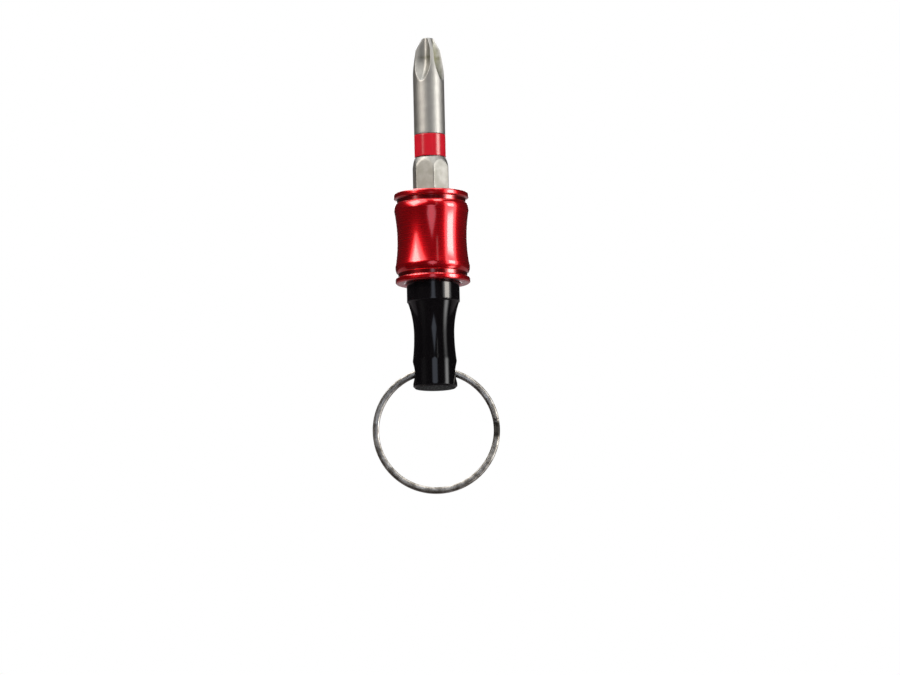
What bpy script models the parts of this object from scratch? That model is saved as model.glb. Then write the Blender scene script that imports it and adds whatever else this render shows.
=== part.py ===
# Bit holder keyring: a quick-release holder for hex bits on a split ring, with a cross-point bit in it.
# The origin is the centre of the stem's end face, and +Z runs along the axis to the bit's tip.
# The split ring lies in the XZ plane and hangs from a cross hole that runs along X.
import math

import bmesh
import bpy
from mathutils import Matrix

# Driving dimensions, in metres and radians

# Hex bit
HEX_ACROSS_FLATS = 0.00635
HEX_TURN = math.radians(10)          # from +X to the nearest flat's normal
BIT_LENGTH = 0.0500
SHANK_LENGTH = 0.0267
SHANK_END_CHAMFER = 0.0009
SHANK_TOP_CHAMFER = 0.0017
LOCK_GROOVE_HEIGHT = 0.0110          # from the bit's end to the middle of the groove
LOCK_GROOVE_DEPTH = 0.000875         # below the flats
LOCK_GROOVE_RADIUS = 0.0023
SHAFT_DIAMETER = 0.00595
TIP_DIAMETER = 0.0021
TIP_CONE_LENGTH = 0.00225
TIP_CONE_DIAMETER = 0.0047
TIP_TAPER_LENGTH = 0.0050
TIP_TAPER_POWER = 1.6
WING_THICKNESS = 0.00095             # at the point
FLUTE_LENGTH = 0.0098

# Colour band on the bit
BAND_LENGTH = 0.0043
BAND_WALL = 0.00033
BAND_PROUD = 0.00003                 # above the shaft
BAND_SETBACK = 0.0002                # from the end of the hex

# Stem
STEM_FOOT_DIAMETER = 0.0084
STEM_FOOT_LENGTH = 0.0053
STEM_FOOT_CHAMFER = 0.00035
STEM_WAIST_DIAMETER = 0.0077
STEM_WAIST_RISE = 0.0051             # from the foot to the narrowest point
STEM_GRIP_LENGTH = 0.0111            # from the foot to the land
LAND_EDGE = 0.0002                   # chamfers of the land
LAND_MARGIN = 0.0011                 # land left bare with the sleeve drawn back
LAND_COVER = 0.0011                  # land under the sleeve at rest
NOSE_SETBACK = 0.0004                # from the sleeve's front
NOSE_CHAMFER = 0.0003
SOCKET_DEPTH = 0.0200                # from the sleeve's front
SOCKET_LEAD_IN = 0.0001              # beyond the hex corners at the mouth
PILOT_DIAMETER = 0.0044              # drill point under the broached hex
PILOT_ANGLE = math.radians(118)

# Release sleeve
SLEEVE_LENGTH = 0.0174
SLEEVE_TRAVEL = 0.0026
SLEEVE_WALL = 0.00107                # outside the release recess
SLEEVE_WAIST_DEPTH = 0.00048
SLEEVE_RIM_LENGTH = 0.00105
SLEEVE_RIM_ROUND = 0.00035
SLEEVE_GROOVE_DEPTH = 0.00052
SLEEVE_GROOVE_WIDTH = 0.0004
SLEEVE_GROOVE_SLOPE = 0.00012
SLEEVE_BEAD_WIDTH = 0.0018
SLEEVE_LUG_LENGTH = 0.00116          # between the spring's seat and the ball ramp
RECESS_LENGTH = 0.0003
BORE_CHAMFER = 0.0002

# Lock balls, spring and retaining clip
BALL_DIAMETER = 0.0022
BALL_PROUD = 0.0002                  # above the nose when locked
SPRING_WIRE = 0.00045
SPRING_PITCH = 0.00105               # nominal, fitted to whole turns
CLIP_WIRE = 0.0008
CLIP_GROOVE_DEPTH = 0.00035
CLIP_SETBACK = 0.0009                # from the nose's end
CLIP_OPENING = math.radians(50)

# Split ring
RING_OUTER_DIAMETER = 0.0242
RING_WIRE_WIDTH = 0.0012             # along the ring's radius
RING_WIRE_THICKNESS = 0.00072
RING_LAYER_GAP = 0.00044
RING_CROSSING = math.radians(18)     # stretch where the wire changes layer
RING_HOLE_HEIGHT = 0.0030            # above the stem's end
RING_HOLE_FLARE = 0.00045

# Clearances
SOCKET_CLEARANCE = 0.000075          # hex flat to socket flat
SEAT_GAP = 0.0001                    # between faces that rest on each other
SLIDE_CLEARANCE = 0.00015            # sleeve on nose
LAND_CLEARANCE = 0.0002              # sleeve on land
BALL_SEAT_GAP = 0.0002               # ball to the bottom of the bit's groove
BALL_HOLE_CLEARANCE = 0.00006
RAMP_GAP = 0.00003                   # ball to ramp
RAMP_RUNOUT = 0.0002
SPRING_CLEARANCE = 0.00008           # spring on nose
SHOULDER_MARGIN = 0.00002            # land beyond the spring
CLIP_CLEARANCE = 0.00005
COUNTERBORE_CLEARANCE = 0.0005       # clip to the sleeve's counterbore
BAND_CLEARANCE = 0.00005
RING_HOLE_CLEARANCE = 0.00037

# Facets of round pieces
BODY_STEPS = 48
BIT_STEPS = 32
HOLE_STEPS = 24
WIRE_RESOLUTION = 1
RING_TURN_POINTS = 44
SPRING_TURN_POINTS = 20
CLIP_POINTS = 30
BALL_MERIDIANS = 16
BALL_PARALLELS = 10
ARC_STEPS = 5                        # along a hollow, a bead or a taper
GROOVE_STEPS = 8
ROUND_STEPS = 2
EDGE_ANGLE = math.radians(35)
WELD = 1e-6
OVERCUT = 0.001                      # how far a cutter stands out of what it cuts

# Sizes and heights that follow from them

HEX_CORNER = 1 / math.cos(math.pi / 6)
bit_flat = HEX_ACROSS_FLATS / 2
socket_flat = bit_flat + SOCKET_CLEARANCE
shaft_radius = SHAFT_DIAMETER / 2
band_radius = shaft_radius + BAND_PROUD
band_bore = band_radius - BAND_WALL
band_seat = band_bore - BAND_CLEARANCE
band_bottom = SHANK_LENGTH + BAND_SETBACK
band_top = band_bottom + BAND_LENGTH

ball_radius = BALL_DIAMETER / 2
groove_bottom = bit_flat - LOCK_GROOVE_DEPTH
ball_inner = groove_bottom + BALL_SEAT_GAP
ball_centre = ball_inner + ball_radius
ball_lift = socket_flat - ball_inner
ramp_slope = ball_lift / SLEEVE_TRAVEL

nose_radius = ball_centre + ball_radius - BALL_PROUD
spring_mean = nose_radius + SPRING_CLEARANCE + SPRING_WIRE / 2
land_radius = spring_mean + SPRING_WIRE / 2 + SHOULDER_MARGIN
clip_seat = nose_radius - CLIP_GROOVE_DEPTH
clip_mean = clip_seat + CLIP_CLEARANCE + CLIP_WIRE / 2

lug_bore = nose_radius + SLIDE_CLEARANCE
rear_bore = land_radius + LAND_CLEARANCE
counterbore = clip_mean + CLIP_WIRE / 2 + COUNTERBORE_CLEARANCE
ramp_at_ball = ball_centre + (ball_radius + RAMP_GAP) * math.hypot(1, ramp_slope)
recess_radius = ramp_at_ball + ramp_slope * (SLEEVE_TRAVEL + RAMP_RUNOUT)
waist_radius = recess_radius + SLEEVE_WALL
rim_radius = waist_radius + SLEEVE_WAIST_DEPTH

land_bottom_z = STEM_FOOT_LENGTH + STEM_GRIP_LENGTH
sleeve_z = land_bottom_z + LAND_MARGIN + SLEEVE_TRAVEL
front_z = sleeve_z + SLEEVE_LENGTH
nose_z = front_z - NOSE_SETBACK
shoulder_z = sleeve_z + LAND_COVER
socket_z = front_z - SOCKET_DEPTH
bit_z = socket_z + SEAT_GAP
ball_z = bit_z + LOCK_GROOVE_HEIGHT
ramp_start_z = ball_z - (ramp_at_ball - lug_bore) / ramp_slope
ramp_end_z = ball_z + SLEEVE_TRAVEL + RAMP_RUNOUT
spring_seat_z = ramp_start_z - SLEEVE_LUG_LENGTH
clip_z = nose_z - CLIP_SETBACK
stop_z = clip_z - CLIP_WIRE / 2 - SEAT_GAP

foot_radius = STEM_FOOT_DIAMETER / 2
ring_mean = (RING_OUTER_DIAMETER - RING_WIRE_WIDTH) / 2
ring_sag = ring_mean - math.sqrt(ring_mean ** 2 - foot_radius ** 2)   # of the wire within the foot
ring_layer = (RING_WIRE_THICKNESS + RING_LAYER_GAP) / 2                # from the mid-plane
ring_reach = math.hypot(ring_layer, ring_sag / 2 + (RING_WIRE_WIDTH - RING_WIRE_THICKNESS) / 2)
ring_hole = ring_reach + RING_WIRE_THICKNESS / 2 + RING_HOLE_CLEARANCE

for old in list(bpy.data.objects):
    bpy.data.objects.remove(old, do_unlink=True)

parts = bpy.data.collections.new("bit_holder_keyring")
cutters = bpy.data.collections.new("cutters")
bpy.context.scene.collection.children.link(parts)
bpy.context.scene.collection.children.link(cutters)


# Modelling helpers

def material(name, colour, roughness, metallic):
    made = bpy.data.materials.new(name)
    made.use_nodes = True
    shader = made.node_tree.nodes["Principled BSDF"]
    shader.inputs["Base Color"].default_value = (*colour, 1.0)
    shader.inputs["Roughness"].default_value = roughness
    shader.inputs["Metallic"].default_value = metallic
    made.diffuse_color = (*colour, 1.0)
    return made


def placed(name, data, frame, location=(0, 0, 0), rotation=(0, 0, 0)):
    item = bpy.data.objects.new(name, data)
    item.parent = frame
    item.location = location
    item.rotation_euler = rotation
    parts.objects.link(item)
    return item


def joint_frame(name, location=(0, 0, 0), parent=None):
    frame = placed(name, None, parent, location)
    frame.empty_display_size = foot_radius
    return frame


def as_cutter(item):
    parts.objects.unlink(item)
    cutters.objects.link(item)
    item.hide_render = True
    item.display_type = "WIRE"
    return item


# A profile of (radius, height) points, from top to bottom on its outer side, turned about Z.
def turned(name, profile, steps, frame, closed=False, **place):
    count = len(profile)
    edges = [(i, (i + 1) % count) for i in range(count if closed else count - 1)]
    mesh = bpy.data.meshes.new(name)
    mesh.from_pydata([(radius, 0, height) for radius, height in profile], edges, [])
    item = placed(name, mesh, frame, **place)
    screw = item.modifiers.new("turn", "SCREW")
    screw.steps = screw.render_steps = steps
    screw.use_merge_vertices = True
    screw.merge_threshold = WELD
    return item


# A prism from z = bottom to z = top, with its corners on a circle.
def prism(name, sides, radius, bottom, top, frame, **place):
    mesh = bpy.data.meshes.new(name)
    shape = bmesh.new()
    middle = Matrix.Translation((0, 0, (bottom + top) / 2))
    bmesh.ops.create_cone(shape, cap_ends=True, segments=sides, radius1=radius, radius2=radius,
                          depth=top - bottom, matrix=middle)
    shape.to_mesh(mesh)
    shape.free()
    return placed(name, mesh, frame, **place)


# A wire along points, round, or flattened to a width across its thickness.
def wire(name, points, thickness, frame, width=None, tilt=0.0, **place):
    curve = bpy.data.curves.new(name, "CURVE")
    curve.dimensions = "3D"
    curve.twist_mode = "Z_UP"
    curve.bevel_depth = thickness / 2
    curve.bevel_resolution = WIRE_RESOLUTION
    curve.extrude = (width - thickness) / 2 if width else 0.0
    curve.use_fill_caps = True
    spline = curve.splines.new("POLY")
    spline.points.add(len(points) - 1)
    for spot, point in zip(spline.points, points):
        spot.co = (*point, 1.0)
        spot.tilt = tilt
    return placed(name, curve, frame, **place)


def combine(item, other, operation):
    change = item.modifiers.new(other.name, "BOOLEAN")
    change.operation = operation
    change.solver = "EXACT"
    change.object = as_cutter(other)


# The finished mesh of a piece, welded and shaded smooth between its edges.
def finished(item, finish):
    graph = bpy.context.evaluated_depsgraph_get()
    mesh = bpy.data.meshes.new_from_object(item.evaluated_get(graph))
    shape = bmesh.new()
    shape.from_mesh(mesh)
    bmesh.ops.remove_doubles(shape, verts=shape.verts, dist=WELD)
    shape.to_mesh(mesh)
    shape.free()
    mesh.shade_smooth()
    mesh.set_sharp_from_angle(angle=EDGE_ANGLE)
    mesh.materials.clear()
    mesh.materials.append(finish)
    name, frame = item.name, item.parent
    location, rotation = item.location.copy(), item.rotation_euler.copy()
    bpy.data.objects.remove(item)
    return placed(name, mesh, frame, location, rotation)


def shares(count):
    return [i / count for i in range(count + 1)]


def quarter(count):
    return [math.pi / 2 * s for s in shares(count)]


# Points from (radius_a, z_a) to (radius_b, z_b) on the arc that runs parallel to the axis at its start.
def hollow(radius_a, z_a, radius_b, z_b):
    rise = radius_b - radius_a
    length = z_b - z_a
    bend = (length ** 2 + rise ** 2) / (2 * rise)
    turn = math.asin(abs(length) / bend)
    side = math.copysign(1, length)
    angles = [turn * s for s in shares(ARC_STEPS)]
    return [(radius_a + bend * (1 - math.cos(a)), z_a + side * bend * math.sin(a)) for a in angles]


# Least distance between turns of a wire, from its centre line's points half a turn or more apart.
def least_gap(points, turn_points, thickness):
    half = turn_points // 2
    near = min(math.dist(a, b) for i, a in enumerate(points) for b in points[i + half:])
    return near - thickness


# Stem: foot, waisted grip, land for the sleeve, shoulder for the spring and nose with the clip's groove
def stem(frame, finish):
    waist = STEM_WAIST_DIAMETER / 2
    waist_z = STEM_FOOT_LENGTH + STEM_WAIST_RISE
    groove_half = CLIP_WIRE / 2 + CLIP_CLEARANCE
    upper = hollow(waist, waist_z, land_radius - LAND_EDGE, land_bottom_z)
    lower = hollow(waist, waist_z, foot_radius, STEM_FOOT_LENGTH)
    profile = [
        (0, nose_z), (nose_radius - NOSE_CHAMFER, nose_z), (nose_radius, nose_z - NOSE_CHAMFER),
        (nose_radius, clip_z + groove_half), (clip_seat, clip_z + groove_half),
        (clip_seat, clip_z - groove_half), (nose_radius, clip_z - groove_half),
        (nose_radius, shoulder_z), (land_radius, shoulder_z), (land_radius, land_bottom_z + LAND_EDGE),
        *reversed(upper), *lower[1:],
        (foot_radius, STEM_FOOT_CHAMFER), (foot_radius - STEM_FOOT_CHAMFER, 0), (0, 0)]
    body = turned("stem", profile, BODY_STEPS, frame)

    hexagon = prism("socket_cut", 6, socket_flat * HEX_CORNER, socket_z, nose_z + OVERCUT, frame,
                    rotation=(0, 0, HEX_TURN))
    mouth = socket_flat * HEX_CORNER + SOCKET_LEAD_IN
    lead_in = turned("socket_lead_in", [(0, nose_z + OVERCUT), (mouth + OVERCUT, nose_z + OVERCUT),
                                        (0, nose_z - mouth)], BODY_STEPS, frame)
    point_depth = PILOT_DIAMETER / 2 / math.tan(PILOT_ANGLE / 2)
    pilot = turned("pilot_cut", [(0, socket_z + OVERCUT), (PILOT_DIAMETER / 2, socket_z + OVERCUT),
                                 (PILOT_DIAMETER / 2, socket_z), (0, socket_z - point_depth)],
                   HOLE_STEPS, frame)
    reach = nose_radius + OVERCUT
    ball_hole = prism("ball_hole_cut", HOLE_STEPS, ball_radius + BALL_HOLE_CLEARANCE, -reach, reach,
                      frame, location=(0, 0, ball_z), rotation=(0, math.pi / 2, HEX_TURN))
    out = foot_radius + OVERCUT
    flare_start = foot_radius - RING_HOLE_FLARE
    wide = ring_hole + out - flare_start
    cross = [(0, out), (wide, out), (ring_hole, flare_start),
             (ring_hole, -flare_start), (wide, -out), (0, -out)]
    ring_cut = turned("ring_hole_cut", cross, HOLE_STEPS, frame,
                      location=(0, 0, RING_HOLE_HEIGHT), rotation=(0, math.pi / 2, 0))
    for cut in (hexagon, lead_in, pilot, ball_hole, ring_cut):
        combine(body, cut, "DIFFERENCE")
    return finished(body, finish)


# Release sleeve: beaded rims, hollow waist, and inside it the spring bore, ball ramp and clip stop
def release_sleeve(frame, finish):
    bead_start = SLEEVE_RIM_LENGTH + SLEEVE_GROOVE_SLOPE + SLEEVE_GROOVE_WIDTH
    bead_top = bead_start + SLEEVE_BEAD_WIDTH
    groove = rim_radius - SLEEVE_GROOVE_DEPTH
    middle = SLEEVE_LENGTH / 2
    end = [(rim_radius - SLEEVE_RIM_ROUND * (1 - math.sin(a)), SLEEVE_RIM_ROUND * (1 - math.cos(a)))
           for a in quarter(ROUND_STEPS)]
    end += [(rim_radius, SLEEVE_RIM_LENGTH), (groove, SLEEVE_RIM_LENGTH + SLEEVE_GROOVE_SLOPE)]
    end += [(groove + SLEEVE_GROOVE_DEPTH * math.sin(a), bead_top - SLEEVE_BEAD_WIDTH * math.cos(a))
            for a in quarter(ARC_STEPS)]
    waist = hollow(waist_radius, middle, rim_radius, bead_top)
    half = end[:-1] + waist[:0:-1]
    outer = [(radius, SLEEVE_LENGTH - depth) for radius, depth in half]
    outer.append((waist_radius, middle))
    outer += reversed(half)

    seat = spring_seat_z - sleeve_z
    recess_top = ramp_end_z + RECESS_LENGTH - sleeve_z
    stop = stop_z - sleeve_z
    inner = [(rear_bore + BORE_CHAMFER, 0), (rear_bore, BORE_CHAMFER), (rear_bore, seat), (lug_bore, seat),
             (lug_bore, ramp_start_z - sleeve_z), (recess_radius, ramp_end_z - sleeve_z),
             (recess_radius, recess_top), (lug_bore, recess_top + recess_radius - lug_bore),
             (lug_bore, stop), (counterbore, stop), (counterbore, SLEEVE_LENGTH - BORE_CHAMFER),
             (counterbore + BORE_CHAMFER, SLEEVE_LENGTH)]
    return finished(turned("release_sleeve", outer + inner, BODY_STEPS, frame, closed=True), finish)


# Sleeve spring: an open coil between the stem's shoulder and the sleeve's lug
def sleeve_spring(frame, finish):
    bottom = shoulder_z + SEAT_GAP + SPRING_WIRE / 2
    height = spring_seat_z - SEAT_GAP - SPRING_WIRE / 2 - bottom
    turns = round(height / SPRING_PITCH)
    count = turns * SPRING_TURN_POINTS
    points = []
    for s in shares(count):
        angle = math.tau * turns * s
        points.append((spring_mean * math.cos(angle), spring_mean * math.sin(angle), bottom + height * s))
    gap = least_gap(points, SPRING_TURN_POINTS, SPRING_WIRE)
    print(f"sleeve_spring: {turns} turns, least gap to itself {gap * 1000:.2f} mm")
    return finished(wire("sleeve_spring", points, SPRING_WIRE, frame), finish)


# Lock ball, on its own slide across the nose
def lock_ball(name, frame, finish):
    mesh = bpy.data.meshes.new(name)
    shape = bmesh.new()
    bmesh.ops.create_uvsphere(shape, u_segments=BALL_MERIDIANS, v_segments=BALL_PARALLELS, radius=ball_radius)
    shape.to_mesh(mesh)
    shape.free()
    return finished(placed(name, mesh, frame), finish)


# Retaining clip: an open ring of round wire in the nose's groove
def retaining_clip(frame, finish):
    sweep = math.tau - CLIP_OPENING
    start = math.pi / 2 + CLIP_OPENING / 2
    angles = [start + sweep * s for s in shares(CLIP_POINTS)]
    points = [(clip_mean * math.cos(a), clip_mean * math.sin(a), clip_z) for a in angles]
    return finished(wire("retaining_clip", points, CLIP_WIRE, frame), finish)


# Split ring: flat wire wound just short of two turns, lying flat here and stood up by its rotation
def split_ring(frame, finish):
    start = RING_CROSSING / 2
    sweep = 2 * math.tau - RING_CROSSING
    centre = ring_sag / 2 - ring_mean
    count = 2 * RING_TURN_POINTS
    points = []
    for s in shares(count):
        turn = sweep * s
        crossed = min(max((turn - math.tau + RING_CROSSING) / RING_CROSSING, 0.0), 1.0)
        layer = ring_layer * (1 - 2 * crossed * crossed * (3 - 2 * crossed))
        points.append((ring_mean * math.cos(start + turn), centre + ring_mean * math.sin(start + turn), layer))
    gap = least_gap(points, RING_TURN_POINTS, RING_WIRE_THICKNESS)
    print(f"split_ring: least gap to itself {gap * 1000:.2f} mm")
    ring = wire("split_ring", points, RING_WIRE_THICKNESS, frame, RING_WIRE_WIDTH, math.pi / 2,
                rotation=(math.pi / 2, 0, 0))
    return finished(ring, finish)


# Box whose inner edge cuts one flute, leaning out of the bit away from the point
def flute_cut(number, frame):
    edge = WING_THICKNESS / math.sqrt(2)
    lean = math.atan2(shaft_radius - edge, FLUTE_LENGTH)
    turn = math.pi / 4 + math.pi / 2 * number
    height = FLUTE_LENGTH + 2 * OVERCUT
    corner = Matrix.Translation((SHAFT_DIAMETER / 2, SHAFT_DIAMETER / 2, OVERCUT - height / 2))
    size = Matrix.Diagonal((SHAFT_DIAMETER, SHAFT_DIAMETER, height, 1))
    mesh = bpy.data.meshes.new("flute_cut")
    shape = bmesh.new()
    bmesh.ops.create_cube(shape, size=1, matrix=Matrix.Rotation(-math.pi / 4, 4, "Z") @ corner @ size)
    shape.to_mesh(mesh)
    shape.free()
    return placed(f"flute_cut_{number}", mesh, frame, rotation=(0, -lean, turn),
                  location=(edge * math.cos(turn), edge * math.sin(turn), BIT_LENGTH))


# Hex shank with turned ends and the lock groove
def hex_shank(frame):
    corner = bit_flat * HEX_CORNER
    wide = corner + OVERCUT / 2
    end_radius = corner - SHANK_END_CHAMFER
    slope = (corner - shaft_radius) / SHANK_TOP_CHAMFER
    groove_axis = groove_bottom + LOCK_GROOVE_RADIUS
    groove_half = math.acos((groove_axis - wide) / LOCK_GROOVE_RADIUS)
    angles = [groove_half * (1 - 2 * s) for s in shares(GROOVE_STEPS)]
    groove = [(groove_axis - LOCK_GROOVE_RADIUS * math.cos(a),
               LOCK_GROOVE_HEIGHT + LOCK_GROOVE_RADIUS * math.sin(a)) for a in angles]
    profile = [
        (0, SHANK_LENGTH + OVERCUT), (shaft_radius - slope * OVERCUT, SHANK_LENGTH + OVERCUT),
        (wide, SHANK_LENGTH - (wide - shaft_radius) / slope), *groove,
        (wide, wide - end_radius), (end_radius - OVERCUT, -OVERCUT), (0, -OVERCUT)]
    shank = prism("hex_shank", 6, corner, 0, SHANK_LENGTH, frame, rotation=(0, 0, HEX_TURN))
    combine(shank, turned("shank_turning", profile, BIT_STEPS, frame), "INTERSECT")
    return shank


# Driver bit: hex shank, round shaft with the band's seat, and a point with four flutes
def driver_bit(frame, finish):
    cone_radius = TIP_CONE_DIAMETER / 2
    cone_z = BIT_LENGTH - TIP_CONE_LENGTH
    shoulder = band_top + BAND_CLEARANCE
    taper = [(shaft_radius - (shaft_radius - cone_radius) * (1 - s) ** TIP_TAPER_POWER,
              cone_z - TIP_TAPER_LENGTH * s) for s in shares(ARC_STEPS)]
    profile = [(0, BIT_LENGTH), (TIP_DIAMETER / 2, BIT_LENGTH), *taper, (shaft_radius, shoulder),
               (band_seat, shoulder), (band_seat, SHANK_LENGTH - OVERCUT), (0, SHANK_LENGTH - OVERCUT)]
    bit = turned("driver_bit", profile, BIT_STEPS, frame)
    combine(bit, hex_shank(frame), "UNION")
    for number in range(4):
        combine(bit, flute_cut(number, frame), "DIFFERENCE")
    return finished(bit, finish)


# Colour band: a thin collar in its seat on the bit's shaft
def bit_band(frame, finish):
    profile = [(band_radius, band_top), (band_radius, band_bottom),
               (band_bore, band_bottom), (band_bore, band_top)]
    return finished(turned("bit_band", profile, BIT_STEPS, frame, closed=True), finish)


black_anodised = material("black_anodised_aluminium", (0.012, 0.012, 0.014), 0.18, 0.6)
red_anodised = material("red_anodised_aluminium", (0.45, 0.008, 0.015), 0.2, 0.7)
spring_steel = material("spring_steel", (0.45, 0.44, 0.42), 0.35, 1.0)
ball_steel = material("ball_steel", (0.7, 0.7, 0.7), 0.12, 1.0)
clip_steel = material("clip_steel", (0.35, 0.35, 0.36), 0.35, 1.0)
ring_nickel = material("nickel_plated_ring_steel", (0.55, 0.54, 0.52), 0.25, 1.0)
bit_steel = material("satin_tool_steel", (0.58, 0.58, 0.57), 0.32, 1.0)
band_red = material("red_band_plastic", (0.42, 0.012, 0.022), 0.35, 0.0)

holder = joint_frame("holder_frame")
sleeve_frame = joint_frame("sleeve_frame", (0, 0, sleeve_z), holder)
ring_frame = joint_frame("ring_frame", (0, 0, RING_HOLE_HEIGHT), holder)
bit_frame = joint_frame("bit_frame", (0, 0, bit_z), holder)

stem(holder, black_anodised)
release_sleeve(sleeve_frame, red_anodised)
sleeve_spring(holder, spring_steel)
retaining_clip(holder, clip_steel)
split_ring(ring_frame, ring_nickel)
driver_bit(bit_frame, bit_steel)
bit_band(bit_frame, band_red)
for side, turn in (("right", HEX_TURN), ("left", HEX_TURN + math.pi)):
    spot = (ball_centre * math.cos(turn), ball_centre * math.sin(turn), ball_z)
    lock_ball(f"lock_ball_{side}", joint_frame(f"ball_{side}_frame", spot, holder), ball_steel)
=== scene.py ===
import math

import bmesh
import bpy
import numpy as np
from mathutils import Matrix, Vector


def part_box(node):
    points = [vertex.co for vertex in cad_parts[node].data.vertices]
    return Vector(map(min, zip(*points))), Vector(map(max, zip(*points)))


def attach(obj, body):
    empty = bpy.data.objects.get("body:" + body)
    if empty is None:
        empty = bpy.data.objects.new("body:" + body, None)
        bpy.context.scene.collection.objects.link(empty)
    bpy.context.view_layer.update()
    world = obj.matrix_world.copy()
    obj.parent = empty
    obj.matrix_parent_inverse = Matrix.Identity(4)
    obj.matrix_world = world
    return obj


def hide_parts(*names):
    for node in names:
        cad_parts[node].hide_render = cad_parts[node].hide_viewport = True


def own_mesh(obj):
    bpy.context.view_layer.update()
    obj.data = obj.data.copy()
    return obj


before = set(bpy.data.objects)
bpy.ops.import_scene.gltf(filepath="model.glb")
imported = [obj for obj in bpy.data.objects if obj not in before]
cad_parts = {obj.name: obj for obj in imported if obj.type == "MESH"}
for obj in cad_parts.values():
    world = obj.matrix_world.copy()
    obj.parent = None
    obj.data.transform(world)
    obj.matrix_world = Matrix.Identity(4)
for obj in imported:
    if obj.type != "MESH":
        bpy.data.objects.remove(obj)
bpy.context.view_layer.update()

mm = 0.001                # every shape below is worked out in millimetres
tau = 2 * math.pi
weldGap = 2e-7            # metres, for seams and poles
tiny = 1e-9               # keeps a length of nothing out of a division
shortEdge = 0.02          # mm, a shorter edge counts as this long where bends are measured


# Cosine and sine of an angle times a radius, at a height, for whole arrays.
def polar(radius, angle, height):
    return np.stack(np.broadcast_arrays(radius * np.cos(angle), radius * np.sin(angle), height), axis=-1)


# Angles of a whole turn, from the side that faces the camera.
def fullTurn(columns):
    return np.linspace(-np.pi / 2, 1.5 * np.pi, columns + 1)


# A share from 0 to 1 that starts and ends level: 3 s squared less 2 s cubed.
def easedShare(value, low, high):
    share = np.clip((value - low) / (high - low), 0, 1)
    return share * share * (3 - 2 * share)


# The lesser of two heights, blended over a width where they come close.
def blendedLeast(a, b, width):
    near = np.clip(width - np.abs(a - b), 0, None) / width
    return np.minimum(a, b) - near * near * width / 4


# The lesser of two radii with a rounded meeting: the inverse powers add up.
def roundedLeast(a, b, power):
    return (a ** -power + b ** -power) ** (-1 / power)


# A line through corners in (radius, height), each rounded by an arc of its own radius. An arc that turns
# by t starts r tan(t/2) before its corner, and its centre lies r / cos(t/2) from it on the bisector.
def roundedLine(corners, radii, step, arcSteps=6):
    corner = np.array(corners, float)
    radius = np.array(radii, float)[:, None]
    before = np.roll(corner, 1, axis=0) - corner
    after = np.roll(corner, -1, axis=0) - corner
    before /= np.linalg.norm(before, axis=1, keepdims=True)
    after /= np.linalg.norm(after, axis=1, keepdims=True)
    cosine = np.clip(np.sum(before * after, axis=1, keepdims=True), -1, 1)
    turn = np.where(radius > 0, np.pi - np.arccos(cosine), 0)
    bisector = before + after
    bisector /= np.maximum(np.linalg.norm(bisector, axis=1, keepdims=True), tiny)
    side = after - np.sum(after * bisector, axis=1, keepdims=True) * bisector
    side /= np.maximum(np.linalg.norm(side, axis=1, keepdims=True), tiny)
    centre = corner + bisector * radius / np.cos(turn / 2)
    sweep = (turn * np.linspace(-0.5, 0.5, arcSteps + 1))[:, :, None]
    spoke = np.sin(sweep) * side[:, None] - np.cos(sweep) * bisector[:, None]
    arcs = centre[:, None] + radius[:, None] * spoke
    kept = [arc if r > 0 else point[None] for arc, r, point in zip(arcs, radius[:, 0], corner)]
    steps = np.broadcast_to(step, len(kept) - 1)
    line = [kept[0]]
    for start, end, size in zip(kept, kept[1:], steps):
        gap = np.linalg.norm(end[0] - start[-1])
        share = np.linspace(0, 1, max(int(np.ceil(gap / size)), 1) + 1)[1:-1, None]
        line += [start[-1] * (1 - share) + end[0] * share, end]
    return np.concatenate(line)


# The arc from (radiusA, heightA) to (radiusB, heightB) that runs parallel to the axis at its start.
def hollowArc(radiusA, heightA, radiusB, heightB, steps):
    rise = radiusB - radiusA
    length = heightB - heightA
    bend = (length ** 2 + rise ** 2) / (2 * rise)
    turn = np.linspace(0, math.asin(abs(length) / bend), steps + 1)
    return np.stack([radiusA + bend * (1 - np.cos(turn)),
                     heightA + math.copysign(bend, length) * np.sin(turn)], axis=1)


# A profile of (radius, height) turned about the axis.
def turnedGrid(profile, angles):
    return polar(profile[:, :1], angles, profile[:, 1:])


# A section of (across, up) carried along a path. Near each end the section draws in on a small quarter
# round, and a last ring of no size closes the cut.
def sweptGrid(path, across, up, section, endRound, endSteps=4):
    run = np.concatenate([[0], np.cumsum(np.linalg.norm(np.diff(path, axis=0), axis=1))])
    edge = endRound * (1 - np.cos(np.linspace(0, np.pi / 2, endSteps + 1)))
    inner = run[(run > endRound) & (run < run[-1] - endRound)]
    spot = np.concatenate([[0], edge, inner, run[-1] - edge[::-1], [run[-1]]])
    end = np.minimum(spot, run[-1] - spot)
    inset = endRound - np.sqrt(np.clip(endRound ** 2 - np.clip(endRound - end, 0, None) ** 2, 0, None))
    half = np.abs(section).max(axis=0)
    size = (half - inset[:, None]) / half
    size[[0, -1]] = 0
    middle, flat, rise = [np.stack([np.interp(spot, run, row) for row in rows.T], axis=1)
                          for rows in (path, across, up)]
    ring = section[None] * size[:, None]
    return middle[:, None] + ring[:, :, :1] * flat[:, None] + ring[:, :, 1:] * rise[:, None]


# A closed section: cosine and sine drawn to the power 2 / squareness, which is round at 2 and squarer above.
def roundedSection(halfAcross, halfUp, squareness, steps):
    angle = np.linspace(0, tau, steps + 1)
    wave = np.stack([np.cos(angle), np.sin(angle)], axis=1)
    return np.sign(wave) * np.abs(wave) ** (2 / squareness) * (halfAcross, halfUp)


# Point numbers of every square of a grid.
def gridFaces(rows, columns, first=0):
    corner = first + np.arange(rows * columns).reshape(rows, columns)
    square = [corner[:-1, :-1], corner[:-1, 1:], corner[1:, 1:], corner[1:, :-1]]
    return np.stack(square, axis=-1).reshape(-1, 4)


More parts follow.
